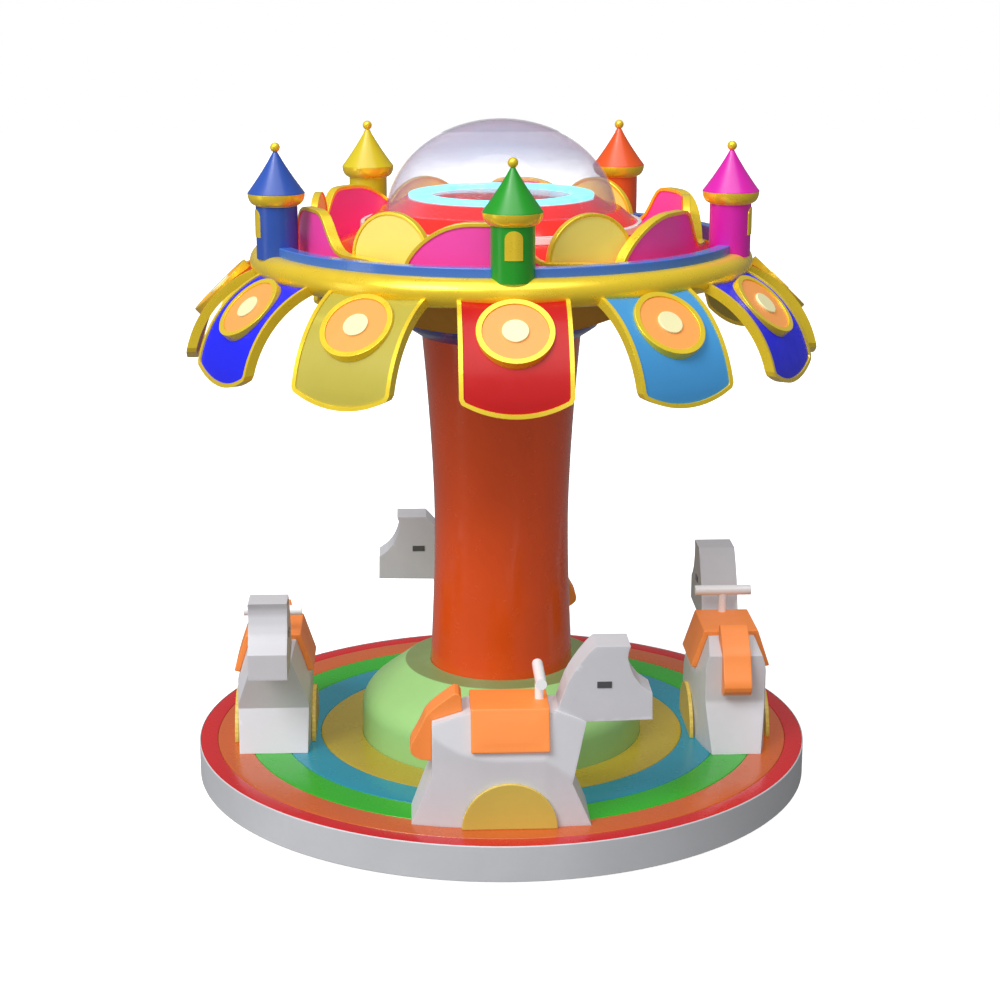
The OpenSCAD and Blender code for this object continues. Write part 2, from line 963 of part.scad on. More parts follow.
module petal_frames() {
  color(gold)
    around(petal_n)
      difference() {
        intersection() {
          petal_strip(petal_curve_r - petal_t - 2, petal_curve_r + border_rise);
          petal_prism(0);
        }
        petal_prism(border_w);
        rim_solid(seat_gap);
      }
}

// Places a round piece on the petal, its axis square to the curve
module on_medallion() {
  translate([0, -petal_c_r, petal_c_z])
    rotate([90 - medal_angle, 0, 0])
      children();
}

module petal_drum(r) {
  translate([-petal_hw, -petal_c_r, petal_c_z])
    rotate([0, 90, 0])
      cylinder(r = r, h = petal_w, $fn = 160);
}

module medallion_rings() {
  color(gold)
    around(petal_n)
      difference() {
        on_medallion()
          translate([0, 0, petal_curve_r - 40])
            ring(medal_r, medal_r - medal_ring_w, medal_h + 40);
        petal_drum(petal_curve_r + seat_gap);
        rim_solid(seat_gap);
      }
}

module medallion_discs() {
  color([0.98, 0.72, 0.42])
    around(petal_n)
      difference() {
        on_medallion()
          translate([0, 0, petal_curve_r - 40])
            cylinder(r = medal_r - medal_ring_w - seat_gap, h = medal_h + 35);
        petal_drum(petal_curve_r + seat_gap);
      }
}

module medallion_buttons() {
  color([1.0, 0.98, 0.84])
    around(petal_n)
      on_medallion()
        translate([0, 0, petal_curve_r + medal_h - 5])
          rotate_extrude($fn = 64)
            polygon([[0, 0], [button_r, 0], [button_r, 7], [button_r - 2, 9], [0, 9]]);
}

// ---------- horses ----------

module horse_places() {
  around(horse_n)
    translate([0, -horse_at, table_h])
      children();
}

// Side outline extruded across the horse
module across(hw) {
  translate([0, hw, 0])
    rotate([90, 0, 0])
      linear_extrude(2 * hw)
        children();
}

// Half width of the body's house-shaped section at a height
function house_hw(z) = z < eaves_h ? body_hw : body_hw - slope * (z - eaves_h);

// Plan of the body behind the saddle's middle, narrowing towards the hind foot
function taper_at(t) = t * foot_back - (1 - t) * 60;
function plan_hw(t) = body_hw * (1 - 0.34 * t * t);

// Body: side outline cut by a house-shaped section and a tapered plan
module horse_torso() {
  intersection() {
    across(body_hw + 5)
      polygon([
        [foot_back, 0], [rump_x - 1, 190], [rump_x, back_h - 39], [rump_x + 125, back_h],
        [neck_x, back_h], throat, [206, 161], [foot_front, 0]
      ]);
    translate([foot_back - 10, 0, 0])
      rotate([90, 0, 90])
        linear_extrude(foot_front - foot_back + 20)
          polygon([
            [-body_hw, 0], [body_hw, 0], [body_hw, eaves_h], [house_hw(back_h + 10), back_h + 10],
            [-house_hw(back_h + 10), back_h + 10], [-body_hw, eaves_h]
          ]);
    linear_extrude(back_h + 10)
      polygon(concat(
        [for (t = [1 : -0.2 : 0]) [taper_at(t), -plan_hw(t)]],
        [[110, -body_hw], [foot_front, -body_hw * 0.92], [foot_front, body_hw * 0.92], [110, body_hw]],
        [for (t = [0 : 0.2 : 1]) [taper_at(t), plan_hw(t)]]
      ));
  }
}

module horse_head() {
  across(head_hw)
    polygon([
      [neck_x - 10, back_h - 40], [neck_x, back_h], [172, 461], [190, 512],
      [212, 552], [240, 592], [262, 620],
      [288, head_top], [412, head_top], [404, 624], [403, 600], [413, 563], [428, 530], [452, 500],
      [491, 472], [493, 374], throat, [235, 300]
    ]);
}

// Slab whose lower face narrows the body from the shoulder to the throat
module chest_cut() {
  shoulder = [110, body_hw, eaves_h];
  toe = [204, body_hw, 163];
  neck = [throat[0], head_hw, throat[1]];
  normal = cross(toe - shoulder, neck - shoulder);
  tilt = acos(abs(normal[2]) / norm(normal));
  aim = atan2(normal[1], normal[0]) + (normal[2] < 0 ? 180 : 0);
  translate(shoulder)
    rotate([0, tilt, aim])
      translate([-250, -250, 0])
        cube([500, 500, 160]);
}

module horse_bodies() {
  color(white)
    horse_places() {
      difference() {
        horse_torso();
        for (side = [0, 1])
          mirror([0, side, 0])
            chest_cut();
      }
      horse_head();
    }
}

module saddles() {
  top = back_h + saddle_t + seat_gap;
  low = 285;
  side = saddle_t * 1.15;
  inner_low = house_hw(low - 3) + 2 * seat_gap;
  inner_top = house_hw(back_h) + 2 * seat_gap;
  color([0.95, 0.50, 0.20])
    horse_places()
      translate([saddle_x, 0, 0])
        rotate([90, 0, 90])
          linear_extrude(saddle_l)
            polygon([
              for (s = [-1, 1])
                each s < 0
                  ? [[-house_hw(low) - side, low + 2], [-house_hw(top) - side, top]]
                  : [[house_hw(top) + side, top], [house_hw(low) + side, low + 2]],
              [inner_low, low - 3], [inner_top, back_h + seat_gap],
              [-inner_top, back_h + seat_gap], [-inner_low, low - 3]
            ]);
}

module tails() {
  color([0.93, 0.46, 0.18])
    horse_places()
      across(54)
        polygon([
          [-180, back_h - 4 + seat_gap], [-183, 458], [-192, 471], [-206, 475], [-222, 466],
          [-252, 443], [-288, 415], [-312, 388], [-328, 352], [-346, 318], [-362, 290], [-367, 270],
          [-363, 252], [-350, 238], [-332, 229], [-312, 225], [rump_x - 1 - seat_gap, 224],
          [rump_x - seat_gap, back_h - 39 + seat_gap]
        ]);
}

module side_discs() {
  color([0.90, 0.76, 0.28])
    horse_places()
      intersection() {
        for (side = [0, 1])
          mirror([0, side, 0])
            translate([-16, body_hw + seat_gap + side_disc_t, 0])
              rotate([90, 0, 0])
                cylinder(r = side_disc_r, h = side_disc_t);
        translate([-300, -300, seat_gap])
          cube([600, 600, 300]);
      }
}

module handlebars() {
  color(white)
    horse_places()
      translate([bar_x, 0, 0]) {
        translate([0, 0, back_h + saddle_t + 2 * seat_gap])
          cylinder(r = 16, h = bar_h - back_h - saddle_t, $fn = 48);
        translate([0, bar_l / 2, bar_h])
          rotate([90, 0, 0])
            cylinder(r = bar_r, h = bar_l, $fn = 48);
      }
}

module eyes() {
  color([0.25, 0.25, 0.26])
    horse_places()
      for (side = [0, 1])
        mirror([0, side, 0])
          translate([295, head_hw + seat_gap, 495])
            cube([52, 3, 24]);
}

base_frame();
rubber_feet();
slewing_inner_ring();
gear_motor();
roller_mounts();
control_box();
slip_ring();
drive_pinion();
roller_1();
roller_2();
roller_3();
roller_4();
ring_gear();
turntable_frame();
deck_board();
skirt();
pad_red();
pad_orange();
pad_green();
pad_teal();
pad_yellow();
mound();
mast();
column_shell();
canopy_frame();
collar();
canopy_dish();
rim_tube();
rim_band();
canopy_floor();
riser_ring();
crown_panels();
crown_trims();
crown_discs();
crown_disc_rims();
light_ring();
dome();
turret_green();
turret_magenta();
turret_orange();
turret_yellow();
turret_blue();
turret_collars();
turret_balls();
turret_windows();
petal_panels_red();
petal_panels_sky();
petal_panels_royal();
petal_panels_yellow();
petal_panels_green();
petal_frames();
medallion_rings();
medallion_discs();
medallion_buttons();
horse_bodies();
saddles();
tails();
side_discs();
handlebars();
eyes();
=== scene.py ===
import math

import bmesh
import bpy
import numpy as np
from mathutils import Matrix, Vector, kdtree


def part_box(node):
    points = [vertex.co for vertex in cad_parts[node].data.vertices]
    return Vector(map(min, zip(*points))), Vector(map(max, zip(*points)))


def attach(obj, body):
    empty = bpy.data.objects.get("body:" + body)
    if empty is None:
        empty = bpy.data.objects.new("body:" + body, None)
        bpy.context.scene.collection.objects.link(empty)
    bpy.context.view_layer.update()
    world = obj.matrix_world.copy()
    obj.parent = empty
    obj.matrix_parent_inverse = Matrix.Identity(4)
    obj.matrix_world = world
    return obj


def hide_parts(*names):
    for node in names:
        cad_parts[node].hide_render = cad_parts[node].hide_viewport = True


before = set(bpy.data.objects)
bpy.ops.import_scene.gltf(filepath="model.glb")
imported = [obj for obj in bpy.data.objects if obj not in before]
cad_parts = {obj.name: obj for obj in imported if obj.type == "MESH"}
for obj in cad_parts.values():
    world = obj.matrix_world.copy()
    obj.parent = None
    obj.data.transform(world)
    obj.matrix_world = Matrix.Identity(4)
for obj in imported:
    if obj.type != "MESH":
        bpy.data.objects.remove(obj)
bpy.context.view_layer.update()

MM = 0.001
QUARTERS = 4
TABLE = "turntable"
FLAT_ANGLE = math.radians(0.5)
BEVEL_ANGLE = math.radians(32)
SOFT_BEVEL_ANGLE = math.radians(25)
CREASE_ANGLE = math.radians(14)
GENTLE_ANGLES = (math.radians(2), math.radians(24))
GENTLE_ROLL = 22 * MM
WELD_DISTANCE = 0.02 * MM
CUT_PASSES = 7
CLOTH_PRESSURE = 3.0
CLOTH_FRAMES = 12
PINNED_BELOW = 0.05
PAD_EDGE = 4 * MM
PAD_CROWN = 1.2 * MM
LATHE_STEPS = 240
# Depth and blend of the painted reflection and shade on the mound's flat top.
CAP_DEPTH = 1.5 * MM
CAP_BLEND = 0.5 * MM
DOME_CLEAR_BELOW = 2.33
DOME_FROSTED_ABOVE = 2.42

# ---------- camera ----------

CAMERA_DISTANCE = 8.0575
CAMERA_HEIGHT = 3.1646
CAMERA_TURN = 2.56
CAMERA_PITCH = 14.545
CAMERA_LENS = 76.73


def make_camera():
    data = bpy.data.cameras.new("camera")
    data.lens = CAMERA_LENS
    data.sensor_width = 36
    data.shift_x = -0.0013
    camera = bpy.data.objects.new("camera", data)
    turn = math.radians(CAMERA_TURN)
    camera.location = (-CAMERA_DISTANCE * math.sin(turn), -CAMERA_DISTANCE * math.cos(turn), CAMERA_HEIGHT)
    camera.rotation_euler = (math.radians(90 - CAMERA_PITCH), 0, -turn)
    bpy.context.scene.collection.objects.link(camera)
    bpy.context.scene.camera = camera


# ---------- materials ----------


class Nodes:
    """Short hand for building one material's node tree."""

    def __init__(self, name):
        self.material = bpy.data.materials.new(name)
        self.material.use_nodes = True
        self.tree = self.material.node_tree
        self.shader = self.tree.nodes["Principled BSDF"]
        self.where = self.add("ShaderNodeTexCoord").outputs["Object"]

    def add(self, kind, **settings):
        node = self.tree.nodes.new(kind)
        for key, value in settings.items():
            setattr(node, key, value)
        return node

    def link(self, source, target):
        self.tree.links.new(source, target)

    def noise(self, scale, detail=3.0, stretch=None):
        node = self.add("ShaderNodeTexNoise")
        node.inputs["Scale"].default_value = scale
        node.inputs["Detail"].default_value = detail
        source = self.where
        if stretch:
            mapping = self.add("ShaderNodeMapping")
            mapping.inputs["Scale"].default_value = stretch
            self.link(self.where, mapping.inputs["Vector"])
            source = mapping.outputs["Vector"]
        self.link(source, node.inputs["Vector"])
        return node.outputs["Fac"]

    def spread(self, source, low, high, start=0.3, stop=0.7):
        node = self.add("ShaderNodeMapRange")
        for key, value in (("From Min", start), ("From Max", stop), ("To Min", low), ("To Max", high)):
            node.inputs[key].default_value = value
        self.link(source, node.inputs["Value"])
        return node.outputs["Result"]

    def blend(self, factor, first, second):
        node = self.add("ShaderNodeMix", data_type="RGBA")
        self.link(factor, node.inputs[0])
        for socket, value in ((node.inputs[6], first), (node.inputs[7], second)):
            if isinstance(value, tuple):
                socket.default_value = (*value, 1)
            else:
                self.link(value, socket)
        return node.outputs[2]

    def bump(self, height, distance, strength=1.0, under=None):
        node = self.add("ShaderNodeBump")
        node.inputs["Distance"].default_value = distance
        node.inputs["Strength"].default_value = strength
        self.link(height, node.inputs["Height"])
        if under is not None:
            self.link(under, node.inputs["Normal"])
        return node.outputs["Normal"]

    def edge(self, low=0.52, high=0.62):
        """1 on convex outer edges, 0 elsewhere: worn edges, and in vinyl and gel coat also a painted
        highlight.
        """
        return self.spread(self.add("ShaderNodeNewGeometry").outputs["Pointiness"], 0.0, 1.0, low, high)


def linear(colour):
    """Linear values of a colour given as it looks on a screen, 0 to 255."""
    scaled = [c / 255 for c in colour]
    return tuple(c / 12.92 if c <= 0.04045 else ((c + 0.055) / 1.055) ** 2.4 for c in scaled)


def shade(colour, factor):
    return tuple(min(1.0, c * factor) for c in colour)


def vinyl(name, screen_colour, roughness, coat, painted_reflection_colour=None):
    """Coated vinyl stretched over foam: fine leather grain, a slow unevenness and edges lightened as rubbed
    wear and as a painted highlight.

    A cap colour paints the mound's flat top darker: a painted reflection of the column and the canopy's
    dark underside, with painted shade.
    """
    n = Nodes(name)
    colour = linear(screen_colour)
    tone = n.blend(n.spread(n.noise(3.0), 0, 1), shade(colour, 0.93), shade(colour, 1.04))
    tone = n.blend(n.spread(n.noise(40.0, 6.0), 0, 0.3), tone, shade(colour, 0.94))
    # The mound's flat top gets a painted reflection and painted shade instead of its own colour.
    if painted_reflection_colour:
        height = n.add("ShaderNodeSeparateXYZ")
        n.link(n.where, height.inputs["Vector"])
        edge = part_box("mound")[1].z - CAP_DEPTH
        above = n.spread(height.outputs["Z"], 0, 1, edge - CAP_BLEND, edge + CAP_BLEND)
        tone = n.blend(above, tone, linear(painted_reflection_colour))
    # Convex edges lighter: partly rubbed wear, partly a painted highlight.
    n.link(n.blend(n.edge(), tone, shade(colour, 1.12)), n.shader.inputs["Base Color"])
    n.link(n.spread(n.noise(14.0), roughness - 0.05, roughness + 0.06), n.shader.inputs["Roughness"])
    grain = n.add("ShaderNodeTexVoronoi")
    grain.inputs["Scale"].default_value = 620
    n.link(n.where, grain.inputs["Vector"])
    wrinkle = n.bump(n.noise(9.0, 4.0), 0.0007, 0.35)
    n.link(n.bump(grain.outputs["Distance"], 0.00012, 0.6, wrinkle), n.shader.inputs["Normal"])
    n.shader.inputs["Coat Weight"].default_value = coat
    n.shader.inputs["Coat Roughness"].default_value = 0.12
    return n.material


def gel_coat(name, screen_colour, roughness=0.22, coat=0.4, metallic=0.0, specular=0.5):
    """Polished gel coat on glass fibre: faint ripple, colour drift and small scuffs."""
    n = Nodes(name)
    colour = linear(screen_colour)
    tone = n.blend(n.spread(n.noise(2.2), 0, 1), shade(colour, 0.92), shade(colour, 1.05))
    scuff = n.spread(n.noise(55.0, 8.0, (1, 1, 0.25)), 0, 0.35, 0.56, 0.72)
    tone = n.blend(scuff, tone, shade(colour, 0.93))
    # Convex edges lighter: partly rubbed wear, partly a painted highlight.
    n.link(n.blend(n.edge(), tone, shade(colour, 1.15)), n.shader.inputs["Base Color"])
    n.link(n.spread(n.noise(18.0, 5.0), roughness - 0.04, roughness + 0.07), n.shader.inputs["Roughness"])
    ripple = n.bump(n.noise(11.0, 2.0), 0.0005, 0.25)
    n.link(n.bump(n.noise(240.0, 2.0), 0.00006, 0.4, ripple), n.shader.inputs["Normal"])
    n.shader.inputs["Metallic"].default_value = metallic
    n.shader.inputs["Specular IOR Level"].default_value = specular
    n.shader.inputs["Coat Weight"].default_value = coat
    n.shader.inputs["Coat Roughness"].default_value = 0.06
    return n.material


def painted_steel(name, screen_colour):
    """Powder coat: orange peel and rubbed edges."""
    n = Nodes(name)
    colour = linear(screen_colour)
    tone = n.blend(n.spread(n.noise(7.0, 5.0), 0, 1), shade(colour, 0.85), shade(colour, 1.08))
    n.link(n.blend(n.edge(0.54, 0.66), tone, (0.5, 0.5, 0.5)), n.shader.inputs["Base Color"])
    n.link(n.spread(n.noise(30.0), 0.34, 0.52), n.shader.inputs["Roughness"])
    n.link(n.bump(n.noise(420.0, 2.0), 0.0001, 0.6), n.shader.inputs["Normal"])
    n.shader.inputs["Metallic"].default_value = 0.35
    return n.material


def machined_steel(name):
    """Turned steel with fine tool marks and a film of oil."""
    n = Nodes(name)
    marks = n.noise(60.0, 4.0, (1, 1, 30))
    tone = n.blend(n.spread(marks, 0, 1), (0.30, 0.30, 0.31), (0.52, 0.52, 0.54))
    n.link(tone, n.shader.inputs["Base Color"])
    n.link(n.spread(marks, 0.22, 0.42), n.shader.inputs["Roughness"])
    n.link(n.bump(marks, 0.0001, 0.5), n.shader.inputs["Normal"])
    n.shader.inputs["Metallic"].default_value = 1.0
    return n.material


def rubber(name, screen_colour):
    n = Nodes(name)
    colour = linear(screen_colour)
    dust = n.spread(n.noise(24.0, 6.0), 0, 0.5, 0.45, 0.75)
    n.link(n.blend(dust, shade(colour, 1.0), (0.12, 0.115, 0.11)), n.shader.inputs["Base Color"])
    n.link(n.spread(n.noise(40.0), 0.6, 0.85), n.shader.inputs["Roughness"])
    n.link(n.bump(n.noise(500.0, 3.0), 0.0002, 0.7), n.shader.inputs["Normal"])
    return n.material


def plywood(name):
    """Birch face with long grain along X."""
    n = Nodes(name)
    grain = n.noise(9.0, 8.0, (1, 14, 14))
    tone = n.blend(n.spread(grain, 0, 1), (0.30, 0.17, 0.08), (0.56, 0.38, 0.20))
    n.link(tone, n.shader.inputs["Base Color"])
    n.link(n.spread(grain, 0.45, 0.65), n.shader.inputs["Roughness"])
    n.link(n.bump(grain, 0.0004, 0.5), n.shader.inputs["Normal"])
    return n.material


def lit_diffuser(name):
    """Glowing ring: even light with faint lamp spots."""
    n = Nodes(name)
    spots = n.spread(n.noise(16.0, 2.0), 0, 1)
    n.link(n.blend(spots, (0.16, 0.78, 1.0), (0.26, 0.88, 1.0)), n.shader.inputs["Emission Color"])
    n.link(n.blend(spots, (0.10, 0.22, 0.25), (0.14, 0.25, 0.28)), n.shader.inputs["Base Color"])
    n.shader.inputs["Emission Strength"].default_value = 1.5
    n.shader.inputs["Roughness"].default_value = 0.3
    return n.material


def clear_dome(name):
    """Blown acrylic, clear below and frosted towards the top, with a thin lavender tint."""
    n = Nodes(name)
    rim = n.add("ShaderNodeLayerWeight")
    rim.inputs["Blend"].default_value = 0.35
    height = n.add("ShaderNodeSeparateXYZ")
    n.link(n.where, height.inputs["Vector"])
    speckle = n.spread(n.noise(260.0, 2.0), 0.85, 1.0)
    frost = n.add("ShaderNodeMath", operation="MULTIPLY")
    n.link(n.spread(height.outputs["Z"], 0.04, 0.40, DOME_CLEAR_BELOW, DOME_FROSTED_ABOVE), frost.inputs[0])
    n.link(speckle, frost.inputs[1])
    total = n.add("ShaderNodeMath", operation="MAXIMUM")
    n.link(n.spread(rim.outputs["Facing"], 0.02, 0.55, 0.1, 1.0), total.inputs[0])
    n.link(frost.outputs["Value"], total.inputs[1])
    n.link(total.outputs["Value"], n.shader.inputs["Alpha"])
    tone = n.blend(n.spread(n.noise(3.0), 0, 1), (0.34, 0.35, 0.52), (0.44, 0.44, 0.60))
    n.link(tone, n.shader.inputs["Base Color"])
    n.link(n.bump(n.noise(6.0, 2.0), 0.0006, 0.3), n.shader.inputs["Normal"])
    n.shader.inputs["Roughness"].default_value = 0.06
    n.shader.inputs["Coat Weight"].default_value = 0.5
    return n.material


def make_materials():
    return {
        "white_vinyl": vinyl("white_vinyl", (203, 203, 208), 0.5, 0.03),
        "skirt_vinyl": vinyl("skirt_vinyl", (194, 195, 199), 0.5, 0.03),
        "orange_vinyl": vinyl("orange_vinyl", (248, 142, 66), 0.45, 0.03),
        "tan_vinyl": vinyl("tan_vinyl", (204, 178, 80), 0.45, 0.05),
        "pad_red": vinyl("pad_red", (190, 24, 30), 0.24, 0.1),
        "pad_orange": vinyl("pad_orange", (188, 88, 38), 0.24, 0.1),
        "pad_green": vinyl("pad_green", (40, 160, 30), 0.24, 0.1),
        "pad_teal": vinyl("pad_teal", (28, 132, 154), 0.24, 0.1),
        "pad_yellow": vinyl("pad_yellow", (166, 146, 44), 0.24, 0.1),
        # The last colour is a painted reflection and painted shade on the mound's flat top.
        "mint_vinyl": vinyl("mint_vinyl", (150, 198, 122), 0.4, 0.05, (118, 139, 84)),
        "column": gel_coat("column", (226, 80, 20), 0.22, 0.3),
        "navy": gel_coat("navy", (30, 44, 150)),
        "gold": gel_coat("gold", (255, 218, 54), 0.28, 0.2, 0.4),
        # The canopy's underside is the rim's gold; this darker, browner copy paints its shade and dark
        # reflection.
        "dish_gold_painted_shade": gel_coat("dish_gold_painted_shade", (200, 150, 70), 0.55, 0.0, specular=0.0),
        "band_blue": gel_coat("band_blue", (68, 116, 204)),
        "floor_red": gel_coat("floor_red", (250, 44, 36)),
        "white_gloss": gel_coat("white_gloss", (244, 244, 246)),
        "crown_pink": gel_coat("crown_pink", (255, 78, 176), 0.34, 0.1),
        "disc_yellow": gel_coat("disc_yellow", (253, 232, 112), 0.34, 0.1),
        "diffuser": lit_diffuser("diffuser"),
        "dome": clear_dome("dome"),
        "turret_green": gel_coat("turret_green", (30, 150, 34), 0.34, 0.1),
        "turret_magenta": gel_coat("turret_magenta", (214, 28, 170), 0.34, 0.1),
        "turret_orange": gel_coat("turret_orange", (226, 84, 26), 0.34, 0.1),
        "turret_yellow": gel_coat("turret_yellow", (208, 188, 28), 0.34, 0.1),
        "turret_blue": gel_coat("turret_blue", (44, 82, 172), 0.34, 0.1),
        "petal_red": gel_coat("petal_red", (184, 10, 12), 0.34, 0.03, specular=0.3),
        "petal_sky": gel_coat("petal_sky", (66, 144, 202), 0.34, 0.03, specular=0.3),
        "petal_royal": gel_coat("petal_royal", (28, 34, 232), 0.34, 0.03, specular=0.3),
        "petal_yellow": gel_coat("petal_yellow", (178, 166, 66), 0.34, 0.03, specular=0.3),
        "petal_green": gel_coat("petal_green", (64, 150, 48), 0.34, 0.03, specular=0.3),
        "medal_orange": gel_coat("medal_orange", (244, 160, 84), 0.34, 0.03, specular=0.3),
        "medal_cream": gel_coat("medal_cream", (236, 230, 178), 0.34, 0.05),
        "eye": gel_coat("eye", (74, 74, 76), 0.3, 0.3),
        "frame_paint": painted_steel("frame_paint", (120, 124, 130)),
        "motor_paint": painted_steel("motor_paint", (60, 68, 80)),
        "steel": machined_steel("steel"),
        "rubber": rubber("rubber", (30, 30, 32)),
        "box_plastic": gel_coat("box_plastic", (66, 70, 76), 0.5, 0.0),
        "plywood": plywood("plywood"),
    }


# ---------- mesh helpers ----------


def add_object(name, mesh, material):
    piece = bpy.data.objects.new(name, mesh)
    bpy.context.scene.collection.objects.link(piece)
    mesh.materials.clear()
    mesh.materials.append(material)
    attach(piece, TABLE)
    return piece


def welded(node):
    """A bmesh of a CAD node with its triangles joined into flat faces."""
    bm = bmesh.new()
    bm.from_mesh(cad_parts[node].data)
    bmesh.ops.remove_doubles(bm, verts=bm.verts, dist=WELD_DISTANCE)
    bmesh.ops.dissolve_limit(bm, angle_limit=FLAT_ANGLE, verts=bm.verts, edges=bm.edges)
    return bm


def smooth(mesh, angle=32):
    mesh.shade_smooth()
    mesh.set_sharp_from_angle(angle=math.radians(angle))


def apply_modifiers(piece):
    graph = bpy.context.evaluated_depsgraph_get()
    made = bpy.data.meshes.new_from_object(piece.evaluated_get(graph))
    piece.modifiers.clear()
    old = piece.data
    piece.data = made
    made.name = piece.name
    bpy.data.meshes.remove(old)


def add_bevel(piece, width, segments, angle):
    modifier = piece.modifiers.new("bevel", "BEVEL")
    modifier.width = width * MM
    modifier.segments = segments
    modifier.limit_method = "ANGLE"
    modifier.angle_limit = angle
    return modifier


def refined(node, material, bevel, segments=2):
    """A copy of a CAD node with rounded edges, which replaces it."""
    bm = welded(node)
    mesh = bpy.data.meshes.new(node + "_round")
    bm.to_mesh(mesh)
    bm.free()
    smooth(mesh)
    piece = add_object(node + "_round", mesh, material)
    add_bevel(piece, bevel, segments, BEVEL_ANGLE).harden_normals = True
    apply_modifiers(piece)
    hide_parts(node)
    return piece


# ---------- soft pieces ----------


def front_quarter(node):
    """A bmesh of the solids of a node that lie in the front quarter, by loose parts."""
    bm = welded(node)
    seen = set()
    doomed = []
    for start in bm.verts:
        if start in seen:
            continue
        part = [start]
        seen.add(start)
        for vert in part:
            for edge in vert.link_edges:
                other = edge.other_vert(vert)
                if other not in seen:
                    seen.add(other)
                    part.append(other)
        centre = sum((v.co for v in part), Vector()) / len(part)
        if abs(centre.x) > -centre.y:
            doomed += part
    bmesh.ops.delete(bm, geom=doomed, context="VERTS")
    return bm


def coordinates(mesh):
    values = np.empty(len(mesh.vertices) * 3, np.float32)
    mesh.vertices.foreach_get("co", values)
    return values.reshape(-1, 3)


def cut_finely(bm, length):
    """Splits the faces so that no edge is much longer than the length."""
    bmesh.ops.triangulate(bm, faces=bm.faces)
    for _ in range(CUT_PASSES):
        long_edges = [edge for edge in bm.edges if edge.calc_length() > length]
        if not long_edges:
            break
        bmesh.ops.subdivide_edges(bm, edges=long_edges, cuts=1)
        bmesh.ops.triangulate(bm, faces=[face for face in bm.faces if len(face.verts) > 3])


def crease_share(bm, reach):
    """0 for vertices on a crease or on the floor, growing to 1 at a distance from every crease."""
    low = min(vert.co.z for vert in bm.verts)
    points = [
        vert.co.copy()
        for edge in bm.edges
        if edge.calc_face_angle(0) > CREASE_ANGLE
        for vert in edge.verts
    ]
    tree = kdtree.KDTree(len(points))
    for number, point in enumerate(points):
        tree.insert(point, number)
    tree.balance()
    share = []
    for vert in bm.verts:
        distance = min(tree.find(vert.co)[2], vert.co.z - low)
        share.append(min(1.0, distance / reach))
    return np.array(share, np.float32)


def puff(piece):
    """How far cloth pressure pushes each vertex outwards while its creases are pinned."""
    cloth = piece.modifiers.new("cloth", "CLOTH")
    cloth.settings.use_pressure = True
    cloth.settings.uniform_pressure_force = CLOTH_PRESSURE
    cloth.settings.effector_weights.gravity = 0
    cloth.settings.quality = 4
    cloth.settings.vertex_group_mass = "creases"
    cloth.collision_settings.use_collision = False
    for number in range(1, CLOTH_FRAMES + 1):
        bpy.context.scene.frame_set(number)
    graph = bpy.context.evaluated_depsgraph_get()
    swollen = coordinates(piece.evaluated_get(graph).data)
    bpy.context.scene.frame_set(1)
    piece.modifiers.clear()
    return swollen


def stuffed(node, length, reach, cap, bevel):
    """Front-quarter solids of a node with rolled edges, their faces crowned by cloth pressure.

    The sizes are in millimetres: the longest mesh edge, the distance from a crease at which the
    crown is full, its greatest height and the width of the rolled edges.
    """
    bm = front_quarter(node)
    least, most = GENTLE_ANGLES
    gentle = [edge for edge in bm.edges if least < abs(edge.calc_face_angle(0)) < most]
    bmesh.ops.bevel(
        bm, geom=gentle, offset=GENTLE_ROLL, segments=4, profile=0.5, affect="EDGES", clamp_overlap=True
    )
    mesh = bpy.data.meshes.new(node + "_soft")
    bm.to_mesh(mesh)
    bm.free()
    piece = bpy.data.objects.new(node + "_soft", mesh)
    bpy.context.scene.collection.objects.link(piece)
    add_bevel(piece, bevel, 3, SOFT_BEVEL_ANGLE)
    apply_modifiers(piece)
    bm = bmesh.new()
    bm.from_mesh(piece.data)
    cut_finely(bm, length * MM)
    share = crease_share(bm, reach * MM)
    bm.normal_update()
    normals = np.array([vert.normal for vert in bm.verts], np.float32)
    bm.to_mesh(piece.data)
    bm.free()
    rest = coordinates(piece.data)
    group = piece.vertex_groups.new(name="creases")
    for number, value in enumerate(share):
        group.add([number], 1.0 if value < PINNED_BELOW else 0.0, "REPLACE")
    swollen = puff(piece)
    height = np.clip(((swollen - rest) * normals).sum(1), 0, cap * MM) * share
    piece.data.vertices.foreach_set("co", (rest + normals * height[:, None]).ravel())
    piece.data.update()
    return piece


def set_round(piece, node, material, name):
    """Copies a front piece to all four quarters, joined into one mesh that replaces the node."""
    bm = bmesh.new()
    for quarter in range(QUARTERS):
        part = piece.data.copy()
        part.transform(Matrix.Rotation(quarter * math.tau / QUARTERS, 4, "Z"))
        bm.from_mesh(part)
        bpy.data.meshes.remove(part)
    mesh = bpy.data.meshes.new(name)
    bm.to_mesh(mesh)
    bm.free()
    bpy.data.objects.remove(piece)
    smooth(mesh, 22)
    made = add_object(name, mesh, material)
    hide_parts(node)


def soft_node(node, material, name, length, reach, cap, bevel):
    set_round(stuffed(node, length, reach, cap, bevel), node, material, name)


def lathe(name, outline):
    """A closed outline of (radius, height) in metres turned about +Z."""
    steps = LATHE_STEPS
    count = len(outline)
    angles = [i * math.tau / steps for i in range(steps)]
    points = [(r * math.cos(a), r * math.sin(a), z) for a in angles for r, z in outline]
    faces = [
        (i * count + k, ((i + 1) % steps) * count + k, ((i + 1) % steps) * count + (k + 1) % count,
         i * count + (k + 1) % count)
        for i in range(steps)
        for k in range(count)
    ]
    mesh = bpy.data.meshes.new(name)
    mesh.from_pydata(points, [], faces)
    bm = bmesh.new()
    bm.from_mesh(mesh)
    bmesh.ops.recalc_face_normals(bm, faces=bm.faces)
    bm.to_mesh(mesh)
    bm.free()
    return mesh


